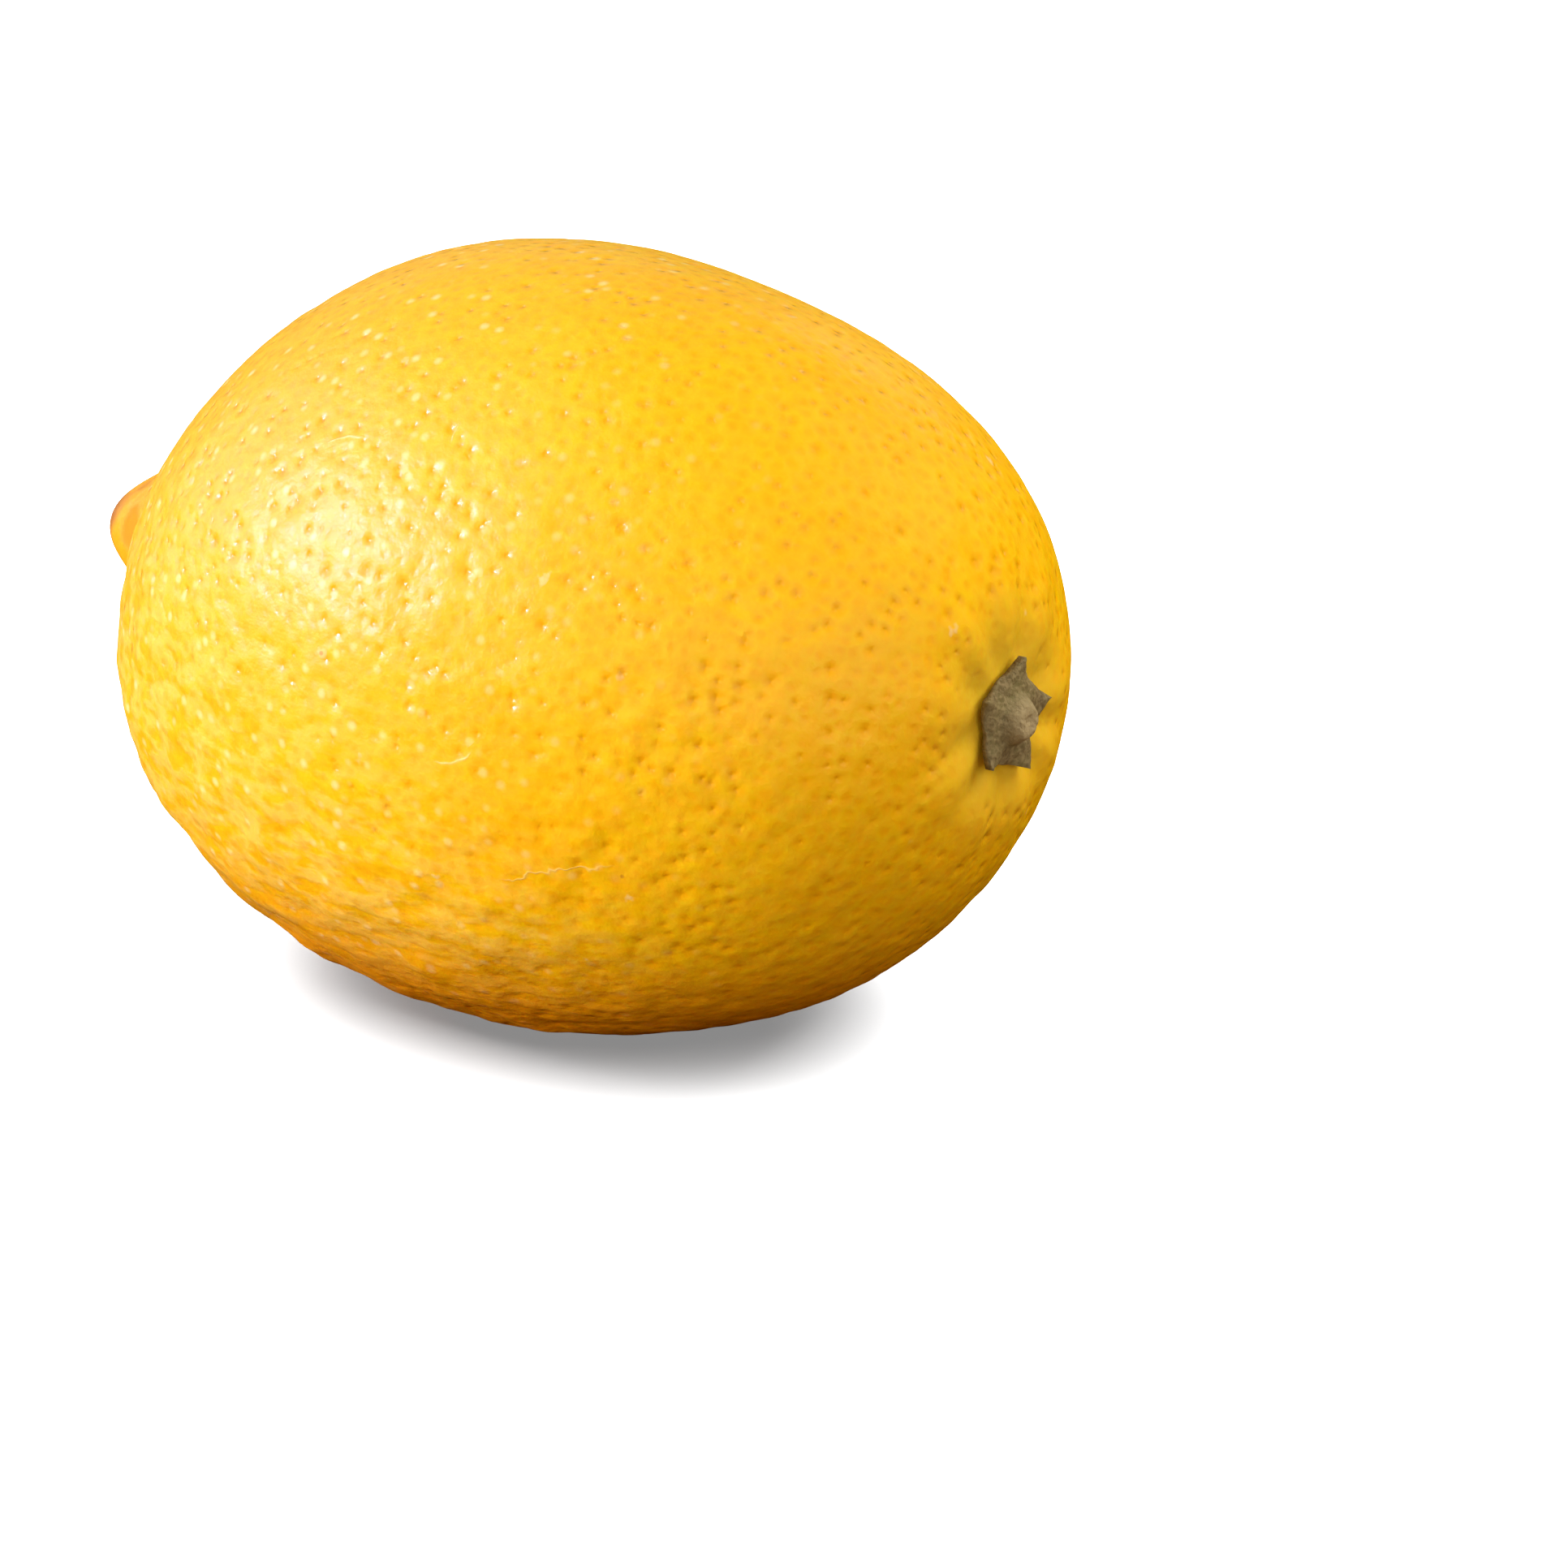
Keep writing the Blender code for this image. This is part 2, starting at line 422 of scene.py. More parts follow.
def make_skin():
    """The fruit's skin: rows evenly spaced along its side, from the nipple to the dimple.

    Each vertex is lowered by its two nearest pits. Each face also carries, at its corners, the
    offsets from the two glands nearest to the face's middle, so that the material can draw the same
    pits more finely than the grid can.
    """
    distance = np.linspace(0.0, PROFILE_DISTANCE[-1], SKIN_ROWS + 2)
    row_step = np.interp(distance, PROFILE_DISTANCE, PROFILE_STEP)
    column_around = 2.0 * pi * np.arange(SKIN_AROUND) / SKIN_AROUND
    step, around = np.meshgrid(row_step[1:-1], column_around, indexing="ij")
    rows, normals = skin(step, around)
    blossom_pole = skin(np.array([1e-3]), np.array([0.0]))[0]
    stem_pole = skin(np.array([1.0 - 1e-3]), np.array([0.0]))[0]
    flat = np.concatenate([blossom_pole, rows.reshape(-1, 3), stem_pole])

    centres, sizes = nearest_glands(rows, step, around)
    depth = pit_depth(rows[..., None, :] - centres, sizes).sum(-1)
    pitted = rows - normals * depth[..., None]
    points = np.concatenate([blossom_pole, pitted.reshape(-1, 3), stem_pole])

    quads, start, end = globe_faces(SKIN_ROWS, SKIN_AROUND)
    piece = new_piece("lemon_skin", points, quads.tolist() + start.tolist() + end.tolist())

    half = pi / SKIN_AROUND
    quad_step = 0.5 * (step[1:] + step[:-1])
    quad_around = around[1:] + half
    end_step = np.repeat([row_step[1] / 2.0, (1.0 + row_step[-2]) / 2.0], SKIN_AROUND)
    face_step = np.concatenate([quad_step.ravel(), end_step])
    face_around = np.concatenate([quad_around.ravel(), np.tile(column_around + half, 2)])
    face_middle = np.concatenate([flat[corners].mean(axis=1) for corners in (quads, start, end)])
    centres, sizes = nearest_glands(face_middle, face_step, face_around)

    corner_vertex = np.concatenate([corners.ravel() for corners in (quads, start, end)])
    corner_face = np.concatenate([
        np.repeat(np.arange(len(quads)), 4),
        np.repeat(np.arange(len(start) + len(end)) + len(quads), 3),
    ])
    for index, name in enumerate(("gland_near", "gland_next")):
        offset = flat[corner_vertex] - centres[corner_face, index]
        add_attribute(piece.data, name, "FLOAT_VECTOR", "CORNER", offset)
        add_attribute(piece.data, name + "_size", "FLOAT_VECTOR", "FACE", sizes[:, index])

    own = body(step, around).reshape(-1, 3)
    add_attribute(piece.data, "ends", "FLOAT_VECTOR", "POINT", end_marks(own))
    add_attribute(piece.data, "nipple_blotch", "FLOAT", "POINT", nipple_blotch(own))
    return piece


def end_marks(own):
    """Three masks for every vertex, the two poles among them: the nipple's orange, the brown scar at
    its tip where the flower sat, and the ring about the stem button. The scar has a fainter streak,
    which runs up over the tip."""
    tip_point = np.array([-BLOSSOM_LENGTH - NIPPLE_HEIGHT, *NIPPLE_OFFSET])
    poles = np.array([tip_point, (STEM_LENGTH - DIMPLE_DEPTH, 0.0, 0.0)])
    own = np.concatenate([poles[:1], own, poles[1:]])
    nipple = 1.0 - ease(-BLOSSOM_LENGTH - 0.0030, -BLOSSOM_LENGTH + 0.0040, own[:, 0])
    ragged = 0.0007 * noise(own, 0.0016, 31)
    scar_middle = tip_point + (0.0, -0.0013, 0.0010)
    scar = 1.0 - ease(0.0019, 0.0038, np.linalg.norm(own - scar_middle, axis=1) + ragged)
    streak = 1.0 - ease(0.0003, 0.0012, np.abs(own[:, 1] + 0.0015) + ragged)
    streak *= (own[:, 2] > 0.0020) * (1.0 - ease(-0.0416, -0.0404, own[:, 0]))
    scar = np.maximum(scar, 0.6 * streak)
    off_axis = np.hypot(own[:, 1], own[:, 2])
    stem = (own[:, 0] > 0.0) * (1.0 - ease(0.0045, 0.0120, off_axis))
    return np.stack([nipple, scar, stem], axis=-1)


def nipple_blotch(own):
    """A deep orange blotch low on the nipple's side, ragged with smooth noise, as a mask for every
    vertex, the two poles among them."""
    middle = (-BLOSSOM_LENGTH - 0.0027, -0.0043, 0.0034)
    away = np.linalg.norm(own - middle, axis=1) + 0.0009 * noise(own, 0.0018, 32)
    return np.concatenate([[0.0], 1.0 - ease(0.0008, 0.0021, away), [0.0]])


def make_button():
    """The stem button: a closed disc, worked out in rings from the middle of its underside, out over
    the rim and in again to the middle of its top.

    The rim's radius rises to a point at each lobe. The top is a thin plate whose lobes have a rib and
    curl up at their tips, with wrinkles of smooth noise, and the stub of the twig in the middle: a
    flat-topped bump with a ragged edge and a small hollow where the pith was.
    """
    ring = np.linspace(0.0, pi, BUTTON_RINGS + 2)[1:-1][:, None]
    around = (2.0 * pi * np.arange(BUTTON_AROUND) / BUTTON_AROUND)[None, :]
    ring, around = np.broadcast_arrays(ring, around)
    spread = np.sin(ring)
    upper = ring > pi / 2.0

    ragged = np.stack([np.cos(around), np.sin(around), 0.5 * spread], axis=-1)
    lobe = 1.0 - np.abs(np.sin(BUTTON_LOBES * around / 2.0)) ** 0.8
    uneven = 0.05 * noise(ragged, 0.35, 21)
    radius = BUTTON_RADIUS * spread * (1.0 + spread**2 * (LOBE_DEPTH * (lobe - 0.45) + uneven))

    place = np.stack([radius * np.cos(around), radius * np.sin(around), np.zeros_like(radius)], -1)
    stub_radius = STUB_RADIUS * (1.0 + 0.10 * noise(ragged, 0.6, 22))
    stub = bump(radius, stub_radius, 7)
    wrinkles = 0.00010 * noise(place, 0.00055, 23) + 0.00012 * noise(place, 0.0013, 24)
    rib = 0.00018 * lobe * ease(0.3, 0.8, spread)
    curl = 0.00045 * lobe * ease(0.75, 1.0, spread)
    pith = 0.00025 * bump(radius, 0.00055, 2)
    cut_face = 0.00006 * noise(place, 0.00030, 25) * stub
    top = BUTTON_THICKNESS * (1.15 - 0.75 * spread**4) + STUB_HEIGHT * stub - pith + cut_face
    rise = np.where(upper, top + (wrinkles + rib) * (1.0 - 0.8 * stub) + curl, 0.7 * curl)

    seat = STEM_LENGTH - DIMPLE_DEPTH + SEAT_GAP
    rows = np.stack([seat + rise, radius * np.cos(around), radius * np.sin(around)], axis=-1)
    under_pole = np.array([[seat, 0.0, 0.0]])
    top_pole = rows[-1].mean(axis=0, keepdims=True)
    own = np.concatenate([under_pole, rows.reshape(-1, 3), top_pole])
    quads, start, end = globe_faces(BUTTON_RINGS, BUTTON_AROUND)
    faces = quads.tolist() + start.tolist() + end.tolist()
    piece = new_piece("lemon_stem_button", tip(own) + MIDDLE, faces)
    wood = np.concatenate([[0.0], (stub * upper).ravel(), [1.0]])
    add_attribute(piece.data, "cut_wood", "FLOAT", "POINT", wood)
    return piece


# ---------------------------------------------------------------- shader helpers

def node(tree, kind, inputs=(), **settings):
    """Adds a node; inputs, by order or by name, are either linked sockets or plain values."""
    made = tree.nodes.new(kind)
    for name, value in settings.items():
        setattr(made, name, value)
    pairs = inputs.items() if isinstance(inputs, dict) else enumerate(inputs)
    for key, value in pairs:
        if isinstance(value, bpy.types.NodeSocket):
            tree.links.new(value, made.inputs[key])
        else:
            made.inputs[key].default_value = value
    return made


def maths(tree, operation, *values):
    """A Math node's result."""
    return node(tree, "ShaderNodeMath", values, operation=operation).outputs[0]


def times(tree, value, *others):
    """A value multiplied by one or more others."""
    for other in others:
        value = maths(tree, "MULTIPLY", value, other)
    return value


def bell(tree, reach):
    """1 at a reach of nothing, falling off as the exponential of minus its square."""
    return maths(tree, "EXPONENT", times(tree, reach, reach, -1.0))


def vector_maths(tree, operation, *values):
    """A Vector Math node's result, a number for a length or a dot product."""
    made = node(tree, "ShaderNodeVectorMath", values, operation=operation)
    is_number = operation in ("LENGTH", "DOT_PRODUCT")
    return made.outputs["Value" if is_number else "Vector"]


def ramp(tree, value, low, high, start=0.0, end=1.0):
    """A value eased from start to end as it goes from low to high."""
    made = node(tree, "ShaderNodeMapRange", [value, low, high, start, end])
    made.interpolation_type = "SMOOTHSTEP"
    return made.outputs[0]


def blend(tree, share, base, other):
    """One colour laid over another by a share."""
    made = node(tree, "ShaderNodeMix", data_type="RGBA")
    sockets = [made.inputs[0], made.inputs[6], made.inputs[7]]
    for socket, value in zip(sockets, (share, base, other)):
        if isinstance(value, bpy.types.NodeSocket):
            tree.links.new(value, socket)
        else:
            socket.default_value = value
    return made.outputs[2]


def colour(red, green, blue):
    """A colour, fully opaque."""
    return (red, green, blue, 1.0)


def attribute(tree, name, output):
    """What a mesh's attribute holds at the place being shaded."""
    return node(tree, "ShaderNodeAttribute", attribute_name=name).outputs[output]


def cloud(tree, place, scale, detail, output="Fac"):
    """Cloudy noise, as many waves to the metre as the scale says."""
    made = node(tree, "ShaderNodeTexNoise", {"Vector": place, "Scale": scale, "Detail": detail})
    return made.outputs[output]


def cells(tree, place, scale):
    """Scattered round cells: how far the place is from its cell's middle, and two chances that
    each cell has drawn for itself."""
    made = node(tree, "ShaderNodeTexVoronoi", {"Vector": place, "Scale": scale})
    chances = node(tree, "ShaderNodeSeparateColor", [made.outputs["Color"]]).outputs
    return made.outputs["Distance"], chances[0], chances[1]


def new_group(name, inputs, outputs):
    """An empty node group with named sockets: (name, kind) pairs in, and names of numbers out."""
    tree = bpy.data.node_groups.new(name, "ShaderNodeTree")
    for label, kind in inputs:
        tree.interface.new_socket(label, in_out="INPUT", socket_type=kind)
    for label in outputs:
        tree.interface.new_socket(label, in_out="OUTPUT", socket_type="NodeSocketFloat")
    return tree, tree.nodes.new("NodeGroupInput").outputs, tree.nodes.new("NodeGroupOutput").inputs


def use_group(tree, group, inputs):
    """A node that runs a group, and its outputs."""
    made = tree.nodes.new("ShaderNodeGroup")
    made.node_tree = group
    for name, value in inputs.items():
        if isinstance(value, bpy.types.NodeSocket):
            tree.links.new(value, made.inputs[name])
        else:
            made.inputs[name].default_value = value
    return made.outputs


def new_material(name):
    """A material with an empty tree but for its Principled shader and output."""
    material = bpy.data.materials.new(name)
    material.use_nodes = True
    tree = material.node_tree
    return material, tree, tree.nodes["Principled BSDF"]


# ---------------------------------------------------------------- shared effects

def make_mottle():
    """Group: soft patches of the given size, as a mask from 0 to 1 with the given contrast."""
    tree, given, result = new_group(
        "mottle",
        [("Place", "NodeSocketVector"), ("Size", "NodeSocketFloat"), ("Contrast", "NodeSocketFloat")],
        ["Mask"],
    )
    soft = cloud(tree, given["Place"], maths(tree, "DIVIDE", 1.0, given["Size"]), 3.0)
    values = [maths(tree, "SUBTRACT", soft, 0.5), given["Contrast"], 0.5]
    mask = node(tree, "ShaderNodeMath", values, operation="MULTIPLY_ADD", use_clamp=True)
    tree.links.new(mask.outputs[0], result["Mask"])
    return tree


def patches(tree, mottle, place, size, contrast):
    """The mottle group's mask."""
    return use_group(tree, mottle, {"Place": place, "Size": size, "Contrast": contrast})["Mask"]


def make_gland():
    """Group: one oil gland, from the offset to it and its radius, depth and colour strength.

    The height is minus the depth times a bell in the distance over the radius, as in the mesh. The
    stain fades from the gland's middle to outside its rim. The pore is a narrower bell, in the
    middle of the deep glands only."""
    tree, given, result = new_group(
        "oil_gland",
        [("Offset", "NodeSocketVector"), ("Size", "NodeSocketVector")],
        ["Height", "Stain", "Pore", "Distance"],
    )
    radius, depth, strength = node(tree, "ShaderNodeSeparateXYZ", [given["Size"]]).outputs
    distance = vector_maths(tree, "LENGTH", given["Offset"])
    reach = maths(tree, "DIVIDE", distance, maths(tree, "MAXIMUM", radius, 1e-6))
    height = times(tree, bell(tree, reach), depth, -1.0)
    stain = times(tree, ramp(tree, reach, 1.60, 0.30), strength)
    pore = bell(tree, maths(tree, "DIVIDE", reach, PORE_SHARE))
    pore = times(tree, pore, ramp(tree, depth, 0.000030, 0.000060))
    tree.links.new(height, result["Height"])
    tree.links.new(stain, result["Stain"])
    tree.links.new(pore, result["Pore"])
    tree.links.new(distance, result["Distance"])
    return tree


def make_scratch():
    """Group: a thin healed scratch, a line of the given half length and width through its middle.

    Across it, the mask is a bell in the distance from a line that bends with the square of the place
    along it and wavers by noise. It fades at the line's two ends and away from its middle."""
    tree, given, result = new_group(
        "scratch",
        [
            ("Place", "NodeSocketVector"), ("Middle", "NodeSocketVector"),
            ("Along", "NodeSocketVector"), ("Across", "NodeSocketVector"),
            ("Half Length", "NodeSocketFloat"), ("Width", "NodeSocketFloat"),
            ("Bend", "NodeSocketFloat"), ("Waver", "NodeSocketFloat"),
        ],
        ["Mask"],
    )
    offset = vector_maths(tree, "SUBTRACT", given["Place"], given["Middle"])
    along = vector_maths(tree, "DOT_PRODUCT", offset, given["Along"])
    along = maths(tree, "DIVIDE", along, given["Half Length"])
    bend = times(tree, along, along, given["Bend"])
    wander = maths(tree, "SUBTRACT", cloud(tree, given["Place"], 900.0, 1.0), 0.5)
    across = vector_maths(tree, "DOT_PRODUCT", offset, given["Across"])
    across = maths(tree, "ADD", across, bend)
    across = maths(tree, "MULTIPLY_ADD", wander, given["Waver"], across)
    line = bell(tree, maths(tree, "DIVIDE", across, given["Width"]))
    ends = ramp(tree, maths(tree, "ABSOLUTE", along), 1.0, 0.55)
    reach = maths(tree, "DIVIDE", vector_maths(tree, "LENGTH", offset), given["Half Length"])
    mask = times(tree, line, ends, ramp(tree, reach, 2.5, 1.6))
    tree.links.new(mask, result["Mask"])
    return tree


# ---------------------------------------------------------------- finishes

# The rind's colour: two tones of yellow in broad patches, and over them, from the lowest coat up, each
# mark with its strength and its own colour. Three coats are painted light: a painted highlight on the
# raised cobbles, painted glints, and painted shade low on the fruit.
RIPE_YELLOW = (0.93, 0.466, 0.0004)
LIGHT_YELLOW = (0.94, 0.536, 0.0008)
RIND_COATS = [
    ("patches", 0.60, (0.95, 0.41, 0.0001)),
    # painted highlight: pale colour on the raised cobbles, fading towards the underside
    ("cobble highlights", 1.0, (0.96, 0.58, 0.085)),
    ("net", 0.32, (0.97, 0.60, 0.012)),
    ("stains", 1.0, (0.94, 0.40, 0.0001)),
    # painted glints: pale spots standing in for small sparkles of light
    ("glint_dots", 1.0, (0.98, 0.70, 0.260)),
    # painted shade: the colour deepened low on the fruit, where less light falls
    ("underside", 1.0, (0.84, 0.23, 0.0002)),
    ("nipple", 0.85, (0.95, 0.42, 0.004)),
    ("blotch", 0.90, (0.90, 0.27, 0.0001)),
    ("stem ring", 0.55, (0.62, 0.42, 0.030)),
    ("scratches", 0.55, (0.96, 0.66, 0.22)),
    ("flecks", 0.60, (0.97, 0.66, 0.28)),
    ("scar", 0.85, (0.33, 0.11, 0.012)),
    ("specks", 0.60, (0.45, 0.16, 0.015)),
]
# Its roughness, and how much rougher each mark is.
RIND_ROUGHNESS = 0.44
RIND_ROUGHER = [("fine", 0.10), ("scar", 0.20), ("blotch", 0.50)]
# How far each mark stands out of the skin, or lies below it.
RIND_RISES = [
    ("fine", 0.0000060),
    ("grain", 0.000085),
    ("glint_dots", 0.000025),
    ("cobbles", 0.000045),
    ("scratches", 0.000030),
    ("flecks", 0.000015),
    ("open pores", -PORE_DEPTH),
]

# Healed scratches: step, around in degrees, heading in degrees from the axis, half length, width,
# bend and waver, lengths in metres.
SCRATCHES = [
    (0.443, 132.4, 12.0, 0.0019, 0.00009, 0.0003, 0.0003),
    (0.625, 193.1, 8.0, 0.0052, 0.00010, 0.0005, 0.0016),
    (0.568, 176.2, 20.0, 0.0019, 0.00009, -0.0006, 0.0004),
    (0.520, 129.0, 95.0, 0.0009, 0.00007, 0.0001, 0.0002),
    (0.700, 60.0, 35.0, 0.0030, 0.00010, 0.0006, 0.0008),
    (0.380, 20.0, -25.0, 0.0040, 0.00010, -0.0008, 0.0010),
    (0.640, 320.0, 15.0, 0.0034, 0.00009, 0.0005, 0.0009),
]


def scratch_places():
    """Each scratch's middle, and the directions along and across it on the skin."""
    for step, degrees, heading, half_length, width, bend, waver in SCRATCHES:
        here = np.array([step]), np.array([radians(degrees)])
        point, normal = skin(*here)
        reach = 1e-3
        stemward = unit(skin(here[0] + reach, here[1])[0] - point)[0]
        sideways = np.cross(normal[0], stemward)
        turn = radians(heading)
        along = cos(turn) * stemward + sin(turn) * sideways
        across = cos(turn) * sideways - sin(turn) * stemward
        yield point[0], along, across, half_length, width, bend, waver


def rind_glands(tree, place, gland):
    """Marks of the two nearest glands, their outlines pushed about by noise: the pits' height, the
    stains, the pores, and the net, a line midway between the two."""
    push = vector_maths(tree, "SUBTRACT", cloud(tree, place, 1900.0, 1.0, "Color"), (0.5, 0.5, 0.5))
    push = node(tree, "ShaderNodeVectorMath", {"Vector": push, "Scale": OUTLINE_PUSH}, operation="SCALE")
    glands = []
    for name in ("gland_near", "gland_next"):
        offset = vector_maths(tree, "ADD", attribute(tree, name, "Vector"), push.outputs["Vector"])
        size = attribute(tree, name + "_size", "Vector")
        glands.append(use_group(tree, gland, {"Offset": offset, "Size": size}))
    near, other = glands
    gap = maths(tree, "SUBTRACT", other["Distance"], near["Distance"])
    return {
        "pits": maths(tree, "ADD", near["Height"], other["Height"]),
        "stains": maths(tree, "MAXIMUM", near["Stain"], other["Stain"]),
        "pores": maths(tree, "MAXIMUM", near["Pore"], other["Pore"]),
        "net": ramp(tree, maths(tree, "ABSOLUTE", gap), NET_WIDTH, 0.0),
    }


def rind_cobbles(tree, place, height_up, mottle):
    """Cobbles drawn out along the fruit, strong low on the front of the blossom end, and a painted
    highlight on them: pale colour on the raised cobbles, which fades towards the underside, where less
    light falls."""
    stretched = vector_maths(tree, "MULTIPLY", place, (0.55, 1.0, 1.0))
    cobbles = patches(tree, mottle, stretched, 0.0014, 6.0)
    low_front = vector_maths(tree, "DOT_PRODUCT", place, (-0.47, -0.62, -0.62))
    strength = maths(tree, "MULTIPLY_ADD", ramp(tree, low_front, -0.012, 0.010), 0.85, 0.05)
    cobbles = times(tree, cobbles, strength)
    # Painted highlight: the raised cobbles are paled where light catches them, less so low down.
    highlights = times(tree, cobbles, ramp(tree, height_up, 0.004, 0.018, 0.25, 1.0))
    return {"cobbles": cobbles, "cobble highlights": highlights}


def rind_spots(tree, place, blossomward):
    """Small brown specks, ragged pale flecks, and painted glints, small sparkles of light painted as
    pale spots, which are many towards the blossom end and none at the stem. Each kind turns up in some
    of its cells only."""
    distance, first, second = cells(tree, place, 210.0)
    specks = times(tree, ramp(tree, distance, 0.050, 0.020), ramp(tree, first, 0.80, 0.84))
    ragged = maths(tree, "MULTIPLY_ADD", cloud(tree, place, 1500.0, 1.0), 0.30, distance)
    flecks = times(tree, ramp(tree, ragged, 0.27, 0.18), ramp(tree, second, 0.76, 0.82))
    distance, first, _ = cells(tree, place, 620.0)
    # Painted glints: pale spots that stand in for small sparkles of light.
    glint_dots = times(tree, ramp(tree, distance, 0.34, 0.06), ramp(tree, first, 0.15, 0.60))
    return {"specks": specks, "flecks": flecks, "glint_dots": times(tree, glint_dots, blossomward, 0.90)}


def rind_scratches(tree, place, scratch):
    """All the healed scratches as one mask."""
    scratches = 0.0
    for middle, along, across, half_length, width, bend, waver in scratch_places():
        mask = use_group(tree, scratch, {
            "Place": place, "Middle": middle.tolist(), "Along": along.tolist(),
            "Across": across.tolist(), "Half Length": half_length, "Width": width,
            "Bend": bend, "Waver": waver,
        })["Mask"]
        scratches = maths(tree, "MAXIMUM", scratches, mask)
    return scratches


def add_marks(tree, marks, shares, total):
    """A total with a share of each named mark added to it."""
    for name, share in shares:
        total = maths(tree, "MULTIPLY_ADD", marks[name], share, total)
    return total


def make_rind(mottle, gland, scratch):
    """The skin: a waxy, slightly translucent yellow with the marks that a lemon's rind carries, and
    painted light besides: a painted highlight on the raised cobbles, painted glints and painted shade
    low down.

    The net shows through a fine grain. The stains are a little weaker and the painted glints stronger
    towards the blossom end, the underside is painted darker and deeper in colour as painted shade, and
    the pores close up towards it. The glands are wetter than the skin between them."""
    material, tree, shader = new_material("rind")
    place = node(tree, "ShaderNodeTexCoord").outputs["Object"]
    from_stem, _, height_up = node(tree, "ShaderNodeSeparateXYZ", [place]).outputs
    blossomward = ramp(tree, from_stem, 0.036, -0.008)
    ends = node(tree, "ShaderNodeSeparateXYZ", [attribute(tree, "ends", "Vector")]).outputs

    marks = {
        **rind_glands(tree, place, gland),
        **rind_cobbles(tree, place, height_up, mottle),
        **rind_spots(tree, place, blossomward),
        "scratches": rind_scratches(tree, place, scratch),
        "nipple": ends[0],
        "scar": ends[1],
        "stem ring": ends[2],
        "blotch": attribute(tree, "nipple_blotch", "Fac"),
        "patches": patches(tree, mottle, place, 0.0015, 3.5),
        "fine": patches(tree, mottle, place, 0.00022, 1.6),
        "grain": cloud(tree, place, 1150.0, 2.0),
        # Painted shade: the colour deepens towards the bottom of the fruit, where less light falls.
        "underside": ramp(tree, height_up, 0.020, 0.002, 0.0, 0.92),
    }
    wet = maths(tree, "MULTIPLY_ADD", marks["stains"], 0.25, marks["pores"])
    weaker = maths(tree, "MULTIPLY_ADD", blossomward, -0.25, 0.75)
    marks["stains"] = times(tree, marks["stains"], weaker)
    marks["net"] = times(tree, marks["net"], marks["fine"])
    marks["open pores"] = times(tree, marks["pores"], ramp(tree, height_up, 0.012, 0.034, 0.1, 1.0))

    broad = patches(tree, mottle, place, 0.016, 2.2)
    tone = blend(tree, broad, colour(*RIPE_YELLOW), colour(*LIGHT_YELLOW))
    for name, strength, coat in RIND_COATS:
        tone = blend(tree, times(tree, marks[name], strength), tone, colour(*coat))
    tree.links.new(tone, shader.inputs["Base Color"])
    rough = add_marks(tree, marks, RIND_ROUGHER, RIND_ROUGHNESS)
    tree.links.new(rough, shader.inputs["Roughness"])
    height = add_marks(tree, marks, RIND_RISES, marks["pits"])
    surface = node(tree, "ShaderNodeBump", {"Strength": 1.0, "Distance": 1.0, "Height": height})
    tree.links.new(surface.outputs[0], shader.inputs["Normal"])
    tree.links.new(surface.outputs[0], shader.inputs["Coat Normal"])
    tree.links.new(maths(tree, "MULTIPLY_ADD", wet, 0.85, 0.12), shader.inputs["Coat Weight"])
    shader.inputs["Coat Roughness"].default_value = 0.13
    shader.inputs["Subsurface Weight"].default_value = 0.25
    shader.inputs["Subsurface Radius"].default_value = (1.0, 0.45, 0.08)
    shader.inputs["Subsurface Scale"].default_value = 0.0016
    shader.inputs["IOR"].default_value = 1.45
    return material


def make_dry_button(mottle):
    """The dead calyx: matt, corky brown with an olive tinge and pale cork on its high places, and
    the twig's cut face a lighter tan."""
    material, tree, shader = new_material("dry_button")
    place = node(tree, "ShaderNodeTexCoord").outputs["Object"]
    broad = patches(tree, mottle, place, 0.0022, 3.0)
    cork = patches(tree, mottle, place, 0.00035, 3.5)
    wood = attribute(tree, "cut_wood", "Fac")

    tone = blend(tree, broad, colour(0.13, 0.085, 0.030), colour(0.19, 0.15, 0.050))
    tone = blend(tree, times(tree, cork, 0.55), tone, colour(0.36, 0.26, 0.12))
    tone = blend(tree, times(tree, wood, 0.60), tone, colour(0.44, 0.32, 0.16))
    tree.links.new(tone, shader.inputs["Base Color"])
    tree.links.new(maths(tree, "MULTIPLY_ADD", cork, 0.12, 0.76), shader.inputs["Roughness"])
    height = times(tree, cork, 0.00006)
    surface = node(tree, "ShaderNodeBump", {"Strength": 1.0, "Distance": 1.0, "Height": height})
    tree.links.new(surface.outputs[0], shader.inputs["Normal"])
    return material


# ---------------------------------------------------------------- floor, lights and camera

def direction(azimuth, elevation):
    """A unit vector from the fruit: azimuth 0 is -Y and turns towards +X, elevation is upwards."""
    turn = radians(azimuth)
    rise = radians(elevation)
    return Vector((sin(turn) * cos(rise), -cos(turn) * cos(rise), sin(rise)))


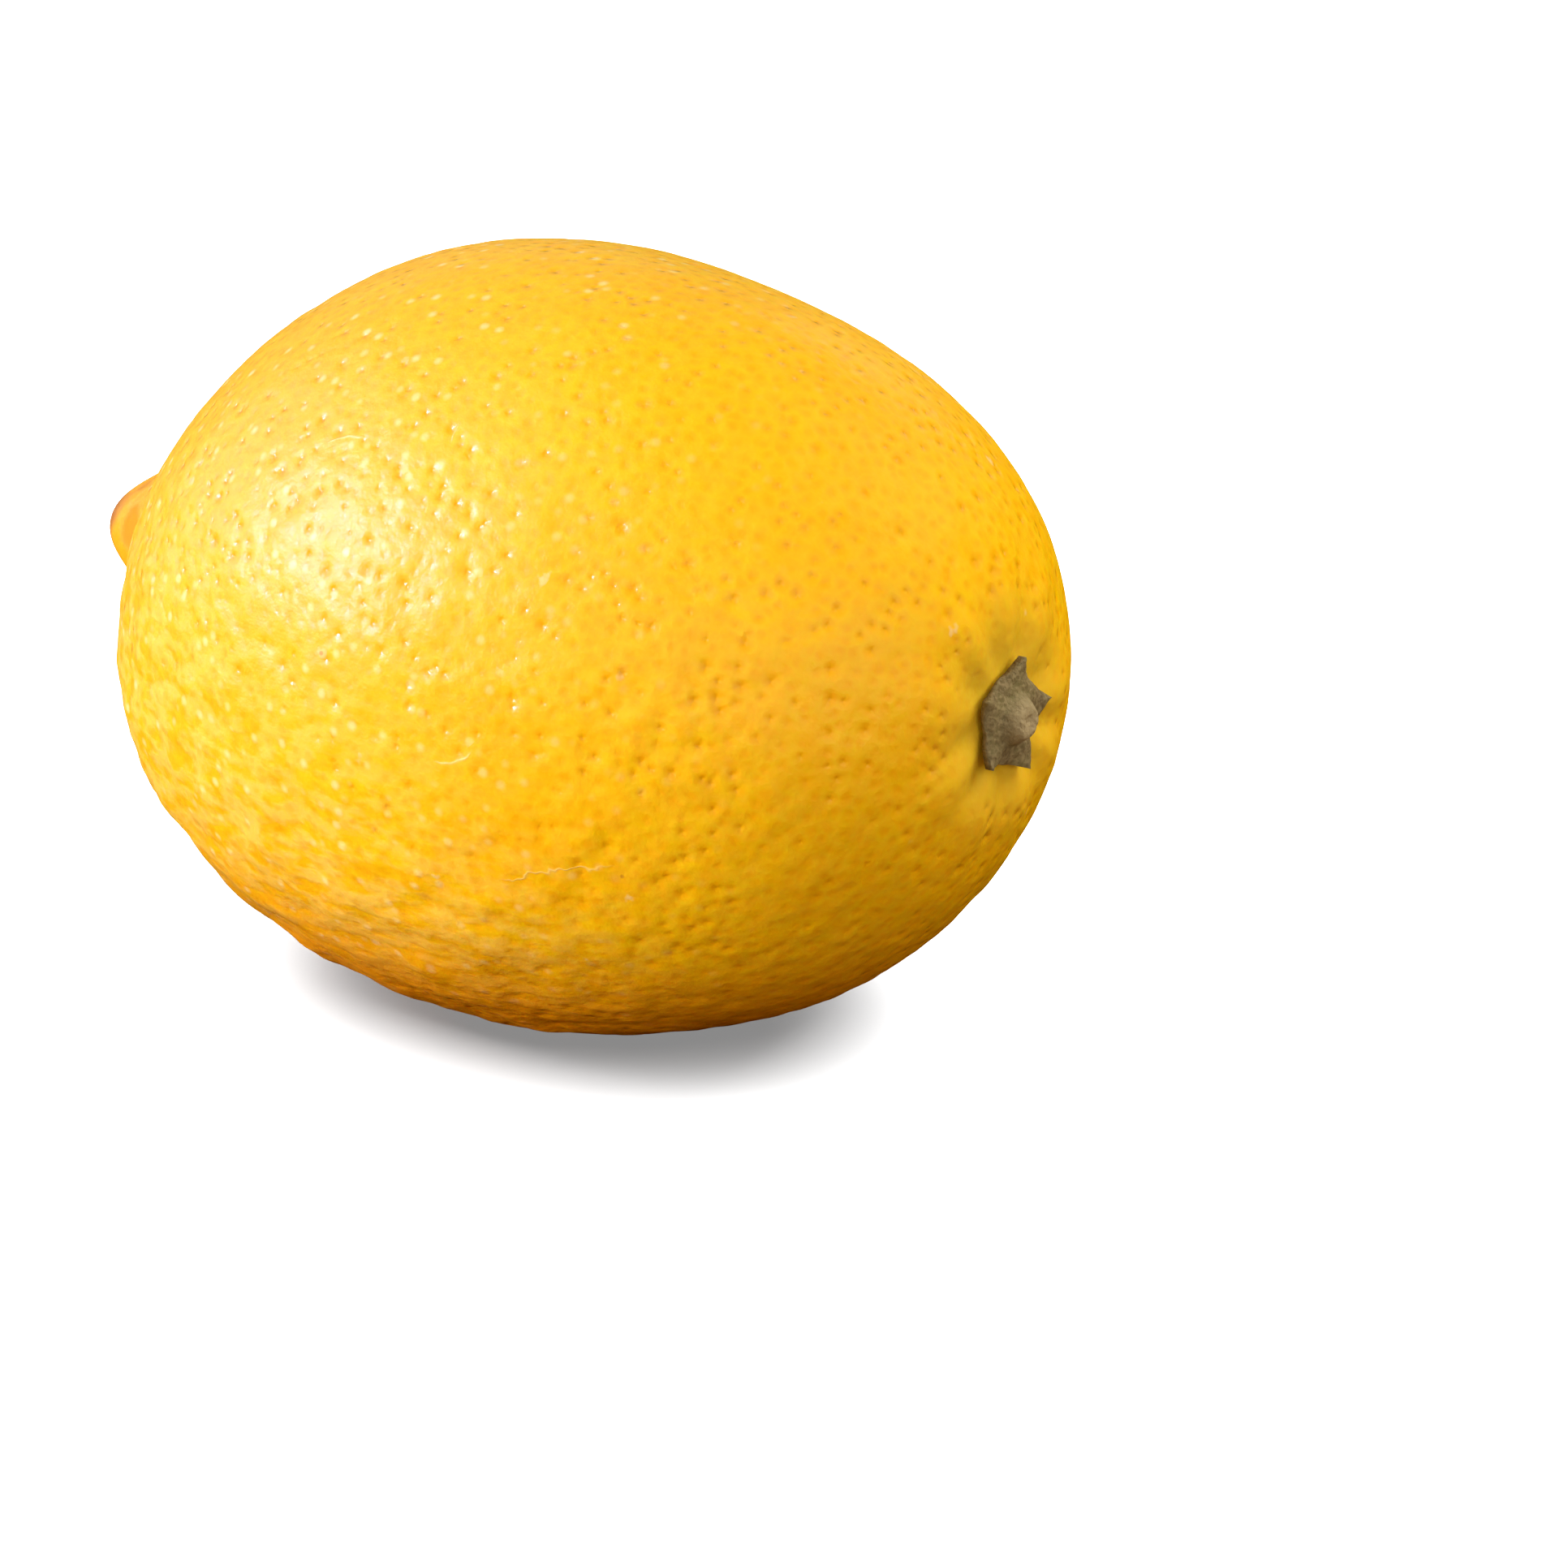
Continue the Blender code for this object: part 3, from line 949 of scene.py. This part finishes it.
def make_floor():
    """A plain pale floor. To the camera it is a near-white light table with a glow of its own, which
    brightens outwards until it meets the white backdrop, and what bounces off it is the dim, warm
    light that a lemon throws on its surroundings."""
    side = FLOOR_HALF_SIDE
    mesh = bpy.data.meshes.new("floor")
    corners = [(-side, -side, 0.0), (side, -side, 0.0), (side, side, 0.0), (-side, side, 0.0)]
    mesh.from_pydata(corners, [], [(0, 1, 2, 3)])
    floor = bpy.data.objects.new("floor", mesh)
    bpy.context.scene.collection.objects.link(floor)
    material, tree, shader = new_material("pale_floor")
    seen = node(tree, "ShaderNodeLightPath").outputs["Is Camera Ray"]
    tone = blend(tree, seen, colour(*FLOOR_BOUNCE), colour(*FLOOR_GREY))
    tree.links.new(tone, shader.inputs["Base Color"])
    away = vector_maths(tree, "LENGTH", node(tree, "ShaderNodeTexCoord").outputs["Object"])
    glow = times(tree, seen, ramp(tree, away, *FLOOR_GLOW_REACH, *FLOOR_GLOW))
    tree.links.new(glow, shader.inputs["Emission Strength"])
    shader.inputs["Emission Color"].default_value = colour(1.0, 1.0, 1.0)
    shader.inputs["Roughness"].default_value = 0.9
    shader.inputs["Specular IOR Level"].default_value = 0.0
    mesh.materials.append(material)
    return floor


def make_sky():
    """A plain white backdrop to the camera, which sheds no light."""
    world = bpy.data.worlds.new("studio")
    world.use_nodes = True
    tree = world.node_tree
    seen = node(tree, "ShaderNodeLightPath").outputs["Is Camera Ray"]
    background = tree.nodes["Background"]
    background.inputs["Color"].default_value = colour(1.0, 1.0, 1.0)
    tree.links.new(seen, background.inputs["Strength"])
    bpy.context.scene.world = world


def make_lights(fruit, table):
    """Softboxes around the fruit, each facing its middle. Those of the fruit leave the table alone,
    and the table's own large light, straight overhead, leaves only a soft shadow under it."""
    for name, (azimuth, elevation, distance, width, height, power, lights) in SOFTBOXES.items():
        light = bpy.data.lights.new(name, "AREA")
        light.shape = "RECTANGLE"
        light.size = width
        light.size_y = height
        light.energy = power
        light.color = TINTS[lights]
        lamp = bpy.data.objects.new(name, light)
        away = direction(azimuth, elevation)
        lamp.location = Vector(MIDDLE) + distance * away
        lamp.rotation_euler = away.to_track_quat("Z", "Y").to_euler()
        lamp.visible_glossy = "gloss" in lights
        lamp.visible_diffuse = "gloss" not in lights
        bpy.context.scene.collection.objects.link(lamp)
        receivers = bpy.data.collections.new(name + "_lights")
        for piece in table if lights == "table" else fruit:
            receivers.objects.link(piece)
        lamp.light_linking.receiver_collection = receivers


def make_camera():
    """A long lens at the given direction, with the fruit's middle left of and above the view's."""
    away = direction(CAMERA_AZIMUTH, CAMERA_ELEVATION)
    turn = away.to_track_quat("Z", "Y")
    right = turn @ Vector((1.0, 0.0, 0.0))
    up = turn @ Vector((0.0, 1.0, 0.0))
    lens = bpy.data.cameras.new("camera")
    lens.lens = CAMERA_LENS
    lens.clip_start = 0.01
    camera = bpy.data.objects.new("camera", lens)
    aim = Vector(MIDDLE) + LEFT_OF_VIEW * right - ABOVE_VIEW * up
    camera.location = aim + CAMERA_DISTANCE * away
    camera.rotation_euler = turn.to_euler()
    bpy.context.scene.collection.objects.link(camera)
    bpy.context.scene.camera = camera


# ---------------------------------------------------------------- put together

mottle_group = make_mottle()
skin_piece = make_skin()
skin_piece.data.materials.append(make_rind(mottle_group, make_gland(), make_scratch()))
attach(skin_piece, "root")
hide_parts("fruit")

button_piece = make_button()
button_piece.data.materials.append(make_dry_button(mottle_group))
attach(button_piece, "root")
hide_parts("stem_button")

floor_piece = make_floor()
make_sky()
make_lights([skin_piece, button_piece], [floor_piece])
make_camera()
bpy.context.scene.view_settings.view_transform = "Standard"
